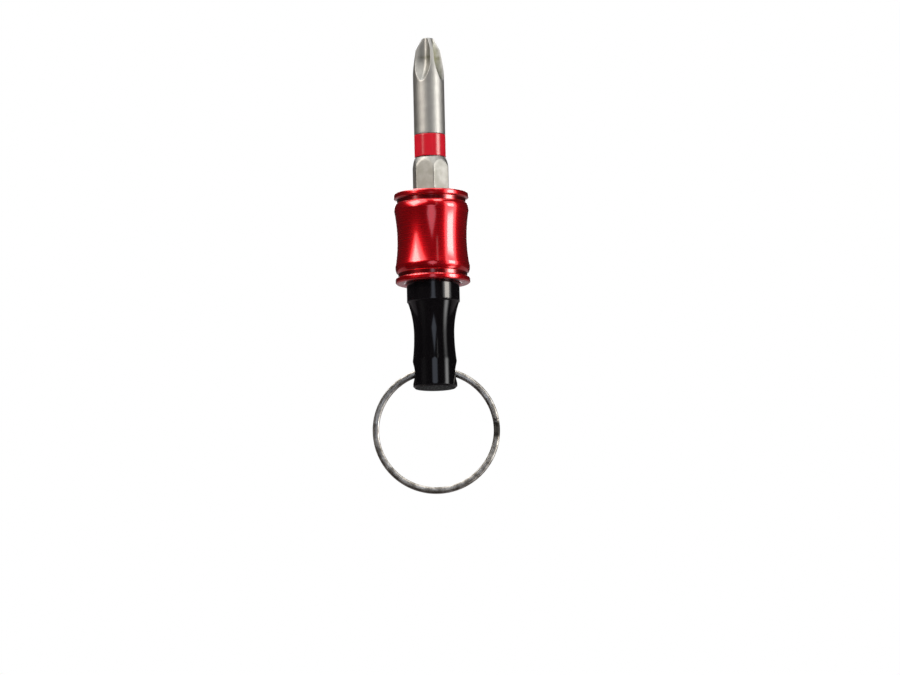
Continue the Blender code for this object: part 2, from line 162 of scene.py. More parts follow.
# How sharply each point stands out, in 1/mm: the turn of the normal along an edge over the edge's length,
# the largest of the edges that meet there.
def edgeBend(mesh):
    place = np.empty(len(mesh.vertices) * 3, np.float32)
    mesh.vertices.foreach_get("co", place)
    normal = np.empty_like(place)
    mesh.vertex_normals.foreach_get("vector", normal)
    ends = np.empty(len(mesh.edges) * 2, np.int32)
    mesh.edges.foreach_get("vertices", ends)
    start, end = ends.reshape(-1, 2).T
    place = place.reshape(-1, 3) / mm
    normal = normal.reshape(-1, 3)
    step = place[end] - place[start]
    length = np.maximum(np.sum(step * step, axis=1), shortEdge ** 2)
    bend = np.sum((normal[end] - normal[start]) * step, axis=1) / length
    most = np.zeros(len(place), np.float32)
    np.maximum.at(most, start, bend)
    np.maximum.at(most, end, bend)
    return most


# Grids put together as one closed mesh, welded, faced outwards and given its body, node, slot and finish.
# Soil is one value for each grid point, for residue and for painted shade; wireRun maps lengths along and
# around, in mm.
def makePiece(name, grids, finish, body, node, sharpAngle=60.0, soilAndShade=None, wires=False):
    points, faces, maps = [], [], []
    count = 0
    for grid in grids:
        rows, columns = grid.shape[:2]
        faces.append(gridFaces(rows, columns, count))
        points.append(grid.reshape(-1, 3))
        run = np.cumsum(np.linalg.norm(np.diff(grid, axis=0, prepend=grid[:1]), axis=-1), axis=0)
        around = np.cumsum(np.linalg.norm(np.diff(grid, axis=1, prepend=grid[:, :1]), axis=-1), axis=1)
        along = run.mean(axis=1, keepdims=True) + 0 * run
        maps.append(np.stack([along, around.max(axis=0) + 0 * around], axis=-1).reshape(-1, 2))
        count += rows * columns
    corners = np.concatenate(faces)
    mesh = bpy.data.meshes.new(name)
    mesh.from_pydata(np.concatenate(points) * mm, [], corners)
    if soilAndShade is not None:
        soilAndShadeLayer = mesh.attributes.new("soilAndShade", "FLOAT", "POINT")
        soilAndShadeLayer.data.foreach_set("value", np.broadcast_to(soilAndShade, grids[0].shape[:2]).astype(np.float32).ravel())
    if wires:
        spread = mesh.uv_layers.new(name="wireRun")
        spread.data.foreach_set("uv", np.concatenate(maps)[corners.ravel()].astype(np.float32).ravel())
    shape = bmesh.new()
    shape.from_mesh(mesh)
    bmesh.ops.remove_doubles(shape, verts=shape.verts, dist=weldGap)
    bmesh.ops.recalc_face_normals(shape, faces=shape.faces)
    openEdges = sum(1 for edge in shape.edges if not edge.is_manifold)
    shape.to_mesh(mesh)
    shape.free()
    bend = mesh.attributes.new("edgeBend", "FLOAT", "POINT")
    bend.data.foreach_set("value", edgeBend(mesh))
    mesh.shade_smooth()
    mesh.set_sharp_from_angle(angle=math.radians(sharpAngle))
    mesh.materials.append(finish)
    piece = bpy.data.objects.new(name, mesh)
    bpy.context.scene.collection.objects.link(piece)
    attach(piece, body)
    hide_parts(node)
    print("piece:", name, len(mesh.polygons), "faces,", openEdges, "open edges")
    return piece


# Largest radius, lowest and highest height of a node, in mm.
def span(node):
    low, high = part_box(node)
    return high.x / mm, low.z / mm, high.z / mm


# A hex colour in sRGB as a linear colour, by the sRGB curve.
def linear(code):
    share = np.array([int(code[i:i + 2], 16) for i in (1, 3, 5)]) / 255
    light = np.where(share <= 0.04045, share / 12.92, ((share + 0.055) / 1.055) ** 2.4)
    return (*light.tolist(), 1.0)


# A node with its settings and the sockets that feed it; gives back its outputs.
def addNode(tree, kind, settings=None, links=None):
    node = tree.nodes.new("ShaderNode" + kind)
    for name, value in (settings or {}).items():
        if isinstance(name, int) or name in node.inputs:
            node.inputs[name].default_value = value
        else:
            setattr(node, name, value)
    for name, socket in (links or {}).items():
        tree.links.new(socket, node.inputs[name])
    return node.outputs


# A new material with an empty node tree.
def newFinish(name):
    finish = bpy.data.materials.new(name)
    finish.use_nodes = True
    finish.node_tree.nodes.clear()
    return finish, finish.node_tree


# Rings about the axis: noise that reads only the distance from the axis and the height.
def latheMarks(tree, pitch):
    place = addNode(tree, "TexCoord")["Object"]
    flat = addNode(tree, "VectorMath", {"operation": "MULTIPLY", 1: (1, 1, 0)}, {0: place})["Vector"]
    reach = addNode(tree, "VectorMath", {"operation": "LENGTH"}, {0: flat})["Value"]
    height = addNode(tree, "SeparateXYZ", None, {"Vector": place})["Z"]
    track = addNode(tree, "CombineXYZ", None, {"X": reach, "Z": height})["Vector"]
    return addNode(tree, "TexNoise", {"Scale": 1 / (pitch * mm), "Detail": 2.0}, {"Vector": track})["Fac"]


rubStart, rubFull = 0.42, 0.7     # noise values between which a rubbed patch fades in


# Wear where a surface turns sharply: bend over a limit in 1/mm, broken up by noise of a grain in mm.
def edgeWear(tree, bendLow, bendHigh, grain):
    place = addNode(tree, "TexCoord")["Object"]
    bend = addNode(tree, "Attribute", {"attribute_name": "edgeBend"})["Fac"]
    edge = addNode(tree, "MapRange", {"From Min": bendLow, "From Max": bendHigh}, {"Value": bend})["Result"]
    rub = addNode(tree, "TexNoise", {"Scale": 1 / (grain * mm), "Detail": 4.0}, {"Vector": place})["Fac"]
    rubbed = addNode(tree, "MapRange", {"From Min": rubStart, "From Max": rubFull}, {"Value": rub})["Result"]
    return addNode(tree, "Math", {"operation": "MULTIPLY"}, {0: edge, 1: rubbed})["Value"]


# Two tones in soft clouds of a size in mm; gives back the clouds and the colour.
def cloudyTone(tree, light, dark, size, detail):
    place = addNode(tree, "TexCoord")["Object"]
    cloud = addNode(tree, "TexNoise", {"Scale": 1 / (size * mm), "Detail": detail}, {"Vector": place})["Fac"]
    tones = {"Color1": linear(light), "Color2": linear(dark)}
    return cloud, addNode(tree, "MixRGB", tones, {"Fac": cloud})["Color"]


# Ends a finish: its roughness follows a grain, from smooth to rough, and a relief in mm bumps it.
def closeFinish(tree, f, settings, colour, grain, relief=None):
    gloss = {"To Min": f["smooth"], "To Max": f["rough"]}
    links = {"Base Color": colour, "Roughness": addNode(tree, "MapRange", gloss, {"Value": grain})["Result"]}
    if relief is not None:
        height = {"Strength": f["bump"], "Distance": f["relief"] * mm}
        links["Normal"] = addNode(tree, "Bump", height, {"Height": relief})["Normal"]
    shader = addNode(tree, "BsdfPrincipled", settings, links)["BSDF"]
    addNode(tree, "OutputMaterial", None, {"Surface": shader})


# Bright-dipped aluminium, dyed red and sealed: deep colour under a clear hard film, crisp pale reflections.
# Lathe marks are drawn coarser than life so that they show. Sizes are in mm; wear holds the bends in 1/mm
# between which it grows, and its grain.
redFinish = {
    # the darkest red below is painted shade for the grooves
    "dye": "#E80A1B", "deepDye": "#D60617", "bare": "#E0D6D2", "paintedShade": "#2A0306",
    "cloud": 4.0, "wear": (9.0, 30.0, 0.5),
    "markPitch": 0.3, "bump": 0.5, "relief": 0.0003, "smooth": 0.24, "rough": 0.3,
    "metallic": 0.9, "filmRoughness": 0.1, "filmIor": 1.7,
}


def redAnodised():
    f = redFinish
    finish, tree = newFinish("red anodised aluminium, bright dipped")
    colour = cloudyTone(tree, f["dye"], f["deepDye"], f["cloud"], detail=3.0)[1]
    worn = edgeWear(tree, *f["wear"])
    colour = addNode(tree, "MixRGB", {"Color2": linear(f["bare"])}, {"Fac": worn, "Color1": colour})["Color"]
    # painted shade: the grooves are darkened towards a near-black red where soil is
    soilAndShade = addNode(tree, "Attribute", {"attribute_name": "soilAndShade"})["Fac"]
    colour = addNode(tree, "MixRGB", {"Color2": linear(f["paintedShade"])}, {"Fac": soilAndShade, "Color1": colour})["Color"]
    marks = latheMarks(tree, f["markPitch"])
    film = {"Metallic": f["metallic"], "Coat Weight": 1.0, "Coat Roughness": f["filmRoughness"],
            "Coat IOR": f["filmIor"]}
    closeFinish(tree, f, film, colour, marks, marks)
    return finish


# Aluminium, dyed black and sealed: near black, with narrow grey reflections that follow its turned form
blackFinish = {
    "dye": "#070608", "faded": "#0D0B0D", "bare": "#3A383A", "cloud": 3.0, "wear": (8.0, 30.0, 0.45),
    "markPitch": 0.3, "bump": 0.5, "relief": 0.0003, "smooth": 0.09, "rough": 0.15, "ior": 1.52,
}


def blackAnodised():
    f = blackFinish
    finish, tree = newFinish("black anodised aluminium, turned")
    colour = cloudyTone(tree, f["dye"], f["faded"], f["cloud"], detail=4.0)[1]
    worn = edgeWear(tree, *f["wear"])
    colour = addNode(tree, "MixRGB", {"Color2": linear(f["bare"])}, {"Fac": worn, "Color1": colour})["Color"]
    marks = latheMarks(tree, f["markPitch"])
    closeFinish(tree, f, {"Metallic": 0.0, "IOR": f["ior"]}, colour, marks, marks)
    return finish


# Hardened tool steel, ground and tumbled: satin grey, streaked along the shaft, brighter on its edges,
# with residue where soil is, in patches
steelFinish = {
    "light": "#B4B4B2", "dark": "#90908D", "edge": "#C8C8C5", "residue": "#5E5F4A",
    "streak": 0.25, "streakLength": 6.25, "cloud": 1.6, "pit": 0.12, "wear": (4.0, 18.0, 0.4),
    "patchStart": 0.3, "patchFull": 0.6, "patchLeast": 0.4,
    "bump": 0.4, "relief": 0.002, "smooth": 0.45, "rough": 0.57,
}


def satinSteel():
    f = steelFinish
    finish, tree = newFinish("satin tool steel, ground and tumbled")
    cloud, colour = cloudyTone(tree, f["light"], f["dark"], f["cloud"], detail=5.0)
    worn = edgeWear(tree, *f["wear"])
    colour = addNode(tree, "MixRGB", {"Color2": linear(f["edge"])}, {"Fac": worn, "Color1": colour})["Color"]
    soilAndShade = addNode(tree, "Attribute", {"attribute_name": "soilAndShade"})["Fac"]
    limits = {"From Min": f["patchStart"], "From Max": f["patchFull"], "To Min": f["patchLeast"]}
    patch = addNode(tree, "MapRange", limits, {"Value": cloud})["Result"]
    stain = addNode(tree, "Math", {"operation": "MULTIPLY"}, {0: soilAndShade, 1: patch})["Value"]
    residue = {"Color2": linear(f["residue"])}
    colour = addNode(tree, "MixRGB", residue, {"Fac": stain, "Color1": colour})["Color"]
    place = addNode(tree, "TexCoord")["Object"]
    stretch = (1, 1, f["streak"] / f["streakLength"])
    along = addNode(tree, "Mapping", {"Scale": stretch}, {"Vector": place})["Vector"]
    fine = {"Scale": 1 / (f["streak"] * mm), "Detail": 3.0}
    streak = addNode(tree, "TexNoise", fine, {"Vector": along})["Fac"]
    pit = addNode(tree, "TexNoise", {"Scale": 1 / (f["pit"] * mm), "Detail": 2.0}, {"Vector": place})["Fac"]
    relief = addNode(tree, "Math", {"operation": "ADD"}, {0: streak, 1: pit})["Value"]
    closeFinish(tree, f, {"Metallic": 1.0}, colour, streak, relief)
    return finish


# Collar of red hard plastic, shrunk on: even colour, soft gloss
bandFinish = {
    "red": "#B41826", "deep": "#9C1020", "cloud": 1.5, "grain": 0.3,
    "bump": 0.3, "relief": 0.002, "smooth": 0.14, "rough": 0.22, "ior": 1.5,
}


def bandPlastic():
    f = bandFinish
    finish, tree = newFinish("red hard plastic, moulded")
    colour = cloudyTone(tree, f["red"], f["deep"], f["cloud"], detail=3.0)[1]
    place = addNode(tree, "TexCoord")["Object"]
    fine = {"Scale": 1 / (f["grain"] * mm), "Detail": 2.0}
    grain = addNode(tree, "TexNoise", fine, {"Vector": place})["Fac"]
    closeFinish(tree, f, {"Metallic": 0.0, "IOR": f["ior"]}, colour, grain, grain)
    return finish


# Drawn steel wire in several finishes: lines along the wire, handling marks, painted shade where soil is
wireKinds = {
    "nickel": {"name": "nickel-plated steel wire, flattened", "light": "#DEDAD4", "dark": "#938D84",
               "smooth": 0.3, "rough": 0.52},
    "spring": {"name": "music wire, drawn and oiled", "light": "#8C8A86", "dark": "#66635E",
               "smooth": 0.25, "rough": 0.42},
    "clip": {"name": "phosphated spring wire", "light": "#56565A", "dark": "#3C3C40",
             "smooth": 0.32, "rough": 0.5},
}
wireFinish = {
    "line": 0.16, "lineLength": 3.2,      # mm, a drawing line, coarser than life so that it shows
    "cloud": 1.2, "patchStart": 0.36, "patchFull": 0.64, "lineStart": 0.3, "lineFull": 0.7,
    # the dark colour on the next line is painted shade
    "bump": 0.4, "relief": 0.002, "paintedShade": "#171412",
}


def drawnWire(kind):
    f = {**wireFinish, **wireKinds[kind]}
    finish, tree = newFinish(f["name"])
    place = addNode(tree, "TexCoord")["Object"]
    soft = {"Scale": 1 / (f["cloud"] * mm), "Detail": 5.0}
    cloud = addNode(tree, "TexNoise", soft, {"Vector": place})["Fac"]
    limits = {"From Min": f["patchStart"], "From Max": f["patchFull"]}
    patch = addNode(tree, "MapRange", limits, {"Value": cloud})["Result"]
    tones = {"Color1": linear(f["light"]), "Color2": linear(f["dark"])}
    colour = addNode(tree, "MixRGB", tones, {"Fac": patch})["Color"]
    # painted shade: near black where soil is, at the ring's crossing
    soilAndShade = addNode(tree, "Attribute", {"attribute_name": "soilAndShade"})["Fac"]
    colour = addNode(tree, "MixRGB", {"Color2": linear(f["paintedShade"])}, {"Fac": soilAndShade, "Color1": colour})["Color"]
    run = addNode(tree, "UVMap", {"uv_map": "wireRun"})["UV"]
    stretch = (f["line"] / f["lineLength"], 1, 1)
    along = addNode(tree, "Mapping", {"Scale": stretch}, {"Vector": run})["Vector"]
    lines = addNode(tree, "TexNoise", {"Scale": 1 / f["line"], "Detail": 3.0}, {"Vector": along})["Fac"]
    limits = {"From Min": f["lineStart"], "From Max": f["lineFull"]}
    grain = addNode(tree, "MapRange", limits, {"Value": lines})["Result"]
    closeFinish(tree, f, {"Metallic": 1.0}, colour, grain, lines)
    return finish


# Bearing ball: lapped chrome steel, almost a mirror
ballFinish = {"light": "#D6D6D6", "dark": "#BEBEC0", "haze": 0.5, "smooth": 0.05, "rough": 0.12}


def ballSteel():
    f = ballFinish
    finish, tree = newFinish("chrome steel, lapped")
    haze, colour = cloudyTone(tree, f["light"], f["dark"], f["haze"], detail=3.0)
    closeFinish(tree, f, {"Metallic": 1.0}, colour, haze)
    return finish


# Driver bit: one grid whose radius is the least of a turned profile, a hexagon and four flutes
bitShape = {
    "flat": 3.175, "hexTurn": 10.0, "cornerPower": 60.0, "spare": 0.08,     # hexagon
    "shankLength": 26.7, "endChamfer": 0.9, "topChamfer": 1.7,
    "grooveHeight": 11.0, "grooveBottom": 2.3, "grooveArc": 2.3, "grooveRows": 45,     # lock groove
    "shaft": 2.975, "bandSeat": 2.625, "seatTop": 31.25,
    "tip": 1.05, "tipMiddle": 0.3, "coneLength": 2.25, "cone": 2.35,
    "taperLength": 5.0, "taperPower": 1.6, "taperRows": 51,
    "wingTurn": 18.0, "core": 0.87, "fluteNose": 0.65, "fluteLead": 0.035, "fluteLength": 8.6, "runout": 4.6,
    "fluteMargin": 0.6, "edgeLimit": 36.0, "edgeProbes": 400, "cornerDraw": 0.75, "mixMargin": 0.5,
    "soilTurn": 62.0, "soilLeast": 0.05, "soilSpread": 0.95, "soilDepth": (0.1, 0.6),     # in the flutes
    "screwLine": 3.8, "screwHalf": 0.3, "screwSoil": 0.45,     # where screws seat
    "runTurn": 8.0, "runHalf": 0.14,     # below a wing; its half width is in radians
    "runSoil": 0.6, "runStart": (4.0, 6.0), "runEnd": (8.0, 13.0),
    "shankSoil": 0.3, "shankFade": 2.0,     # handling marks
    "edgePower": 70.0, "columns": 240,
}


# Radius of the hexagon: the flat's distance over the largest of six cosines, of the angles from the flats'
# middles. They are added as high powers, so that the corners are rounded.
def hexRadius(angle):
    normals = np.radians(bitShape["hexTurn"] + 60 * np.arange(6))
    reach = np.clip(np.cos(angle[..., None] - normals), 0, None) ** bitShape["cornerPower"]
    return bitShape["flat"] * reach.sum(axis=-1) ** (-1 / bitShape["cornerPower"])


# How far the floor of a flute lies from the axis: a slight lean, then the cutting wheel's arc, which
# leaves the shaft at the flute's end.
def fluteFloor(depth):
    arcStart = bitShape["fluteLength"] - bitShape["runout"]
    rise = bitShape["shaft"] - bitShape["core"] - bitShape["fluteLead"] * bitShape["fluteLength"]
    arc = np.clip((depth - arcStart) / bitShape["runout"], 0, None) ** 2
    return bitShape["core"] + bitShape["fluteLead"] * depth + rise * arc


# Radius of a right-angled flute with a rounded floor, at an angle from the flute's middle:
# the hyperbola (r cos a - e) squared = (r sin a) squared + n squared, solved for r, with its floor at e + n.
def fluteRadius(angle, floor):
    nose = bitShape["fluteNose"]
    edge = floor - nose
    leastCosine = 1e-4
    wide = np.clip(np.cos(2 * angle), leastCosine, None)
    reach = edge * np.cos(angle)
    return (reach + np.sqrt(np.clip(reach ** 2 - wide * (edge ** 2 - nose ** 2), 0, None))) / wide


# Column angles in a quarter: half a wing, then half a flute, drawn together at the wing's edge.
def wingColumns(edgeAngle, columns):
    half = columns // 8
    wingCount = half * 3 // 7     # three columns on the wing to four in the flute
    wingPart = np.sin(np.linspace(0, np.pi / 2, wingCount + 1))
    flutePart = (1 - np.cos(np.linspace(0, np.pi, half - wingCount + 1))) / 2
    wing = edgeAngle[:, None] * wingPart
    flute = edgeAngle[:, None] + (np.pi / 4 - edgeAngle[:, None]) * flutePart[1:]
    left = np.concatenate([wing, flute], axis=1)
    quarter = np.concatenate([left[:, :-1], np.pi / 2 - left[:, :0:-1]], axis=1)
    turns = [quarter + k * np.pi / 2 for k in range(4)] + [quarter[:, :1] + tau]
    return np.concatenate(turns, axis=1)


# The turned outline of the bit as (radius, height): foot, lock groove, shank, band seat, shaft, taper, point.
def bitProfile(length, fluteStart):
    s = bitShape
    corner = s["flat"] / math.cos(math.pi / 6)
    wide = corner + s["spare"]
    slope = (corner - s["shaft"]) / s["topChamfer"]
    axis = s["grooveBottom"] + s["grooveArc"]
    reach = math.acos((axis - wide) / s["grooveArc"])
    sweep = np.linspace(-reach, reach, s["grooveRows"])
    groove = np.stack([axis - s["grooveArc"] * np.cos(sweep),
                       s["grooveHeight"] + s["grooveArc"] * np.sin(sweep)], axis=1)
    end = corner - s["endChamfer"]
    foot = roundedLine([(0, 0), (end, 0), (wide, wide - end), (wide, groove[0, 1])],
                       radii=[0, 0.12, 0.05, 0], step=[0.5, 0.06, 0.5])
    taperEnd = length - s["coneLength"]
    taperStart = taperEnd - s["taperLength"]
    chamferStart = s["shankLength"] - (wide - s["shaft"]) / slope
    middle = roundedLine([(wide, groove[-1, 1]), (wide, chamferStart), (s["shaft"], s["shankLength"]),
                          (s["bandSeat"], s["shankLength"]), (s["bandSeat"], s["seatTop"]),
                          (s["shaft"], s["seatTop"]), (s["shaft"], fluteStart), (s["shaft"], taperStart)],
                         radii=[0, 0.05, 0.06, 0.04, 0.04, 0.06, 0, 0],
                         step=[0.5, 0.05, 0.1, 0.6, 0.1, 0.45, 0.1])
    share = np.linspace(0, 1, s["taperRows"])
    taper = np.stack([s["shaft"] - (s["shaft"] - s["cone"]) * share ** s["taperPower"],
                      taperStart + s["taperLength"] * share], axis=1)
    point = roundedLine([(s["cone"], taperEnd), (s["tip"], length), (s["tipMiddle"], length)],
                        radii=[0, 0.14, 0], step=[0.08, 0.1])
    return np.concatenate([foot[1:], groove[1:-1], middle, taper[1:], point[1:]])


# Residue on the bit, from 0 to 1: in the flutes and most towards one side, on the line where screws seat,
# in a run below one wing, and on the shank.
def bitSoil(angle, height, fromTip, inFlute):
    s = bitShape
    fromSoil = angle + np.pi / 2 - np.radians(s["soilTurn"])
    soilAndShade = inFlute * (s["soilLeast"] + s["soilSpread"] * (0.5 + 0.5 * np.cos(fromSoil)) ** 3)
    soilAndShade += inFlute * s["screwSoil"] * np.exp(-((fromTip - s["screwLine"]) / s["screwHalf"]) ** 2)
    below = easedShare(fromTip, *s["runStart"]) * (1 - easedShare(fromTip, *s["runEnd"]))
    fromRun = angle + np.pi / 2 - np.radians(s["runTurn"])
    soilAndShade += s["runSoil"] * below * np.exp(-(fromRun / s["runHalf"]) ** 2)
    soilAndShade += s["shankSoil"] * (1 - easedShare(height, s["shankLength"] - s["shankFade"], s["shankLength"]))
    return np.clip(soilAndShade, 0, 1)


def driverBit(finish):
    s = bitShape
    bottom, top = span("driver_bit")[1:]
    length = top - bottom
    fluteStart = length - s["fluteLength"] - s["fluteMargin"]
    profile = bitProfile(length, fluteStart)
    height = profile[:, 1]
    floor = fluteFloor(length - height)
    probe = np.linspace(0, np.pi / 4, s["edgeProbes"])
    cut = fluteRadius(np.pi / 4 - probe, floor[:, None]) < np.maximum(profile[:, :1], s["tip"])
    edgeAngle = np.where(cut.any(axis=1), probe[np.argmax(cut, axis=1)], np.pi / 4)
    edgeAngle = np.clip(edgeAngle, 0, np.radians(s["edgeLimit"]))
    wings = wingColumns(edgeAngle, s["columns"]) + np.radians(s["wingTurn"]) - np.pi / 2
    even = np.linspace(0, 1, s["columns"] // 6 + 1)[:-1]
    sixth = even - s["cornerDraw"] * np.sin(tau * even) / tau
    sixths = np.append((sixth + np.arange(6)[:, None]).ravel(), 6)
    hexes = sixths * np.pi / 3 + np.radians(s["hexTurn"] - 90)
    mix = easedShare(height, s["seatTop"] + s["mixMargin"], fluteStart)[:, None]
    angle = hexes * (1 - mix) + wings * mix

    body = roundedLeast(profile[:, :1], hexRadius(angle), s["edgePower"])
    fromFlute = (angle - np.radians(s["wingTurn"])) % (np.pi / 2) - np.pi / 4
    radius = roundedLeast(body, fluteRadius(fromFlute, floor[:, None]), s["edgePower"])
    grid = polar(radius, angle, height[:, None] + bottom)
    pole = 0 * grid[-1:]
    grid = np.concatenate([pole + (0, 0, bottom), grid, pole + (0, 0, top)])
    inFlute = easedShare(body - radius, *s["soilDepth"])
    soilAndShade = bitSoil(angle, height[:, None], length - height[:, None], inFlute)
    soilAndShade = np.pad(soilAndShade, ((1, 1), (0, 0)))
    return makePiece("driverBit", [grid], finish, "bit", "driver_bit", soilAndShade=soilAndShade)


# Colour band: a thin collar with rolled edges, its outline turned about the axis
bandShape = {"wall": 0.33, "boreRound": 0.05, "edgeRound": 0.14, "step": 0.25, "columns": 128}


def colourBand(finish):
    s = bandShape
    radius, bottom, top = span("bit_band")
    bore = radius - s["wall"]
    seam = (bore, (bottom + top) / 2)
    loop = roundedLine([seam, (bore, bottom), (radius, bottom), (radius, top), (bore, top), seam],
                       [0, s["boreRound"], s["edgeRound"], s["edgeRound"], s["boreRound"], 0], s["step"])
    grid = turnedGrid(loop, fullTurn(s["columns"]))
    return makePiece("colourBand", [grid], finish, "bit", "bit_band")


# Release sleeve: rims, grooves and beads at both ends of a hollow waist, and the ball ramp inside, as one
# outline turned about the axis. A bead is a quarter of an ellipse, and the waist is an arc.
sleeveShape = {
    "rimLength": 1.05, "rimRound": 0.35, "edgeRound": 0.26,
    "grooveSlope": 0.12, "grooveWidth": 0.75, "grooveDepth": 0.52, "grooveRound": 0.06,
    "beadWidth": 1.45, "beadRows": 24, "waistDepth": 0.48, "waistRows": 28,
    "rearBore": 5.25, "lugBore": 4.65, "counterbore": 5.5, "boreChamfer": 0.2, "boreStep": 0.5,
    "springSeat": 6.9, "rampStart": 8.06, "rampEnd": 11.3, "recess": 5.584, "recessLength": 0.3,
    "clipStop": 15.6, "soilAndShade": 0.75, "shadeReach": (0.2, 0.5),     # painted shade in the grooves
    "columns": 168,
}


def releaseSleeve(finish):
    s = sleeveShape
    rim, bottom, top = span("release_sleeve")
    length = top - bottom
    groove = rim - s["grooveDepth"]
    beadStart = s["rimLength"] + s["grooveSlope"] + s["grooveWidth"]
    beadTop = beadStart + s["beadWidth"]

    def end(bore):
        face = roundedLine([(bore + s["boreChamfer"], 0), (rim, 0), (rim, s["rimLength"]),
                            (groove, s["rimLength"] + s["grooveSlope"]), (groove, beadStart)],
                           radii=[0, s["rimRound"], s["edgeRound"], s["grooveRound"], 0],
                           step=[0.3, 0.12, 0.1, 0.1], arcSteps=8)
        turn = np.linspace(0, np.pi / 2, s["beadRows"] + 1)[1:]
        bead = np.stack([groove + s["grooveDepth"] * np.sin(turn),
                         beadTop - s["beadWidth"] * np.cos(turn)], axis=1)
        waist = hollowArc(rim - s["waistDepth"], length / 2, rim, beadTop, s["waistRows"])[::-1]
        return np.concatenate([face, bead, waist[1:]])

    front = end(s["counterbore"])
    rear = end(s["rearBore"])
    front[:, 1] = top - front[:, 1]
    rear[:, 1] += bottom
    recessTop = s["rampEnd"] + s["recessLength"]
    inner = roundedLine(
        [(s["rearBore"] + s["boreChamfer"], 0), (s["rearBore"], s["boreChamfer"]),
         (s["rearBore"], s["springSeat"]), (s["lugBore"], s["springSeat"]),
         (s["lugBore"], s["rampStart"]), (s["recess"], s["rampEnd"]),
         (s["recess"], recessTop), (s["lugBore"], recessTop + s["recess"] - s["lugBore"]),
         (s["lugBore"], s["clipStop"]), (s["counterbore"], s["clipStop"]),
         (s["counterbore"], length - s["boreChamfer"]), (s["counterbore"] + s["boreChamfer"], length)],
        radii=[0, 0.04, 0.1, 0.06, 0.1, 0.05, 0.05, 0.05, 0.06, 0.1, 0.04, 0],
        step=s["boreStep"], arcSteps=4) + (0, bottom)
    loop = np.concatenate([front, rear[-2::-1], inner[1:]])
    # painted shade, darkest at each groove's middle and easing out over its reach
    grooveMiddle = s["rimLength"] + s["grooveSlope"] + s["grooveWidth"] / 2
    fromEnd = np.minimum(loop[:, 1] - bottom, top - loop[:, 1])
    soilAndShade = s["soilAndShade"] * (1 - easedShare(np.abs(fromEnd - grooveMiddle), *s["shadeReach"]))
    grid = turnedGrid(loop, fullTurn(s["columns"]))
    return makePiece("releaseSleeve", [grid], finish, "sleeve", "release_sleeve",
                     soilAndShade=soilAndShade[:, None])


# Stem: turned outside, hexagon socket, cross hole for the ring and two ball holes, all on shared columns
stemShape = {
    "foot": 4.2, "footLength": 5.3, "footChamfer": 0.35, "waist": 3.85, "waistHeight": 10.4,
    "land": 5.05, "landBottom": 16.4, "landEdge": 0.2, "shoulder": 21.2,
    "nose": 4.5, "noseChamfer": 0.3, "clipSeat": 4.15, "clipHeight": 36.2, "clipHalf": 0.45,
    "socketFlat": 3.25, "socketFloor": 17.5, "mouth": 3.853, "pilot": 2.2, "pilotAngle": 118.0,
    "ringHole": 1.59, "ringHoleHeight": 3.0, "flare": 0.45, "flareEdge": 0.12, "flareRim": 2.32,
    "beltLow": 0.6, "beltHigh": 6.2, "beltRows": 40, "beltApron": 10,     # round the cross hole
    "ballHole": 1.16, "ballHeight": 28.6, "ballBelt": 2.2, "ballRows": 18, "ballApron": 6, "facet": 30,
    "hexTurn": bitShape["hexTurn"], "waistRows": 24, "arcRows": 40, "socketRows": 8, "columns": 180,
}


# The rectangle of a surface round a hole, once round as (angle, height), and the direction of each point.
def holeFrame(halfAngle, low, high, columns, rows, radius, middle):
    across = np.linspace(-halfAngle, halfAngle, columns + 1)
    up = np.linspace(low, high, rows + 1)
    angle = np.concatenate([across, 0 * up[1:] + halfAngle, across[-2::-1], 0 * up[1:] - halfAngle])
    height = np.concatenate([0 * across + low, up[1:], 0 * across[1:] + high, up[-2::-1]])
    return angle, height, np.arctan2(height - middle, radius * angle)


# Straight rows in (angle, height) from the rectangle to a circle round the hole.
def holeApron(angle, height, rimAngle, rimHeight, rows):
    share = np.linspace(0, 1, rows + 1)[:, None]
    return angle + (rimAngle - angle) * share, height + (rimHeight - height) * share


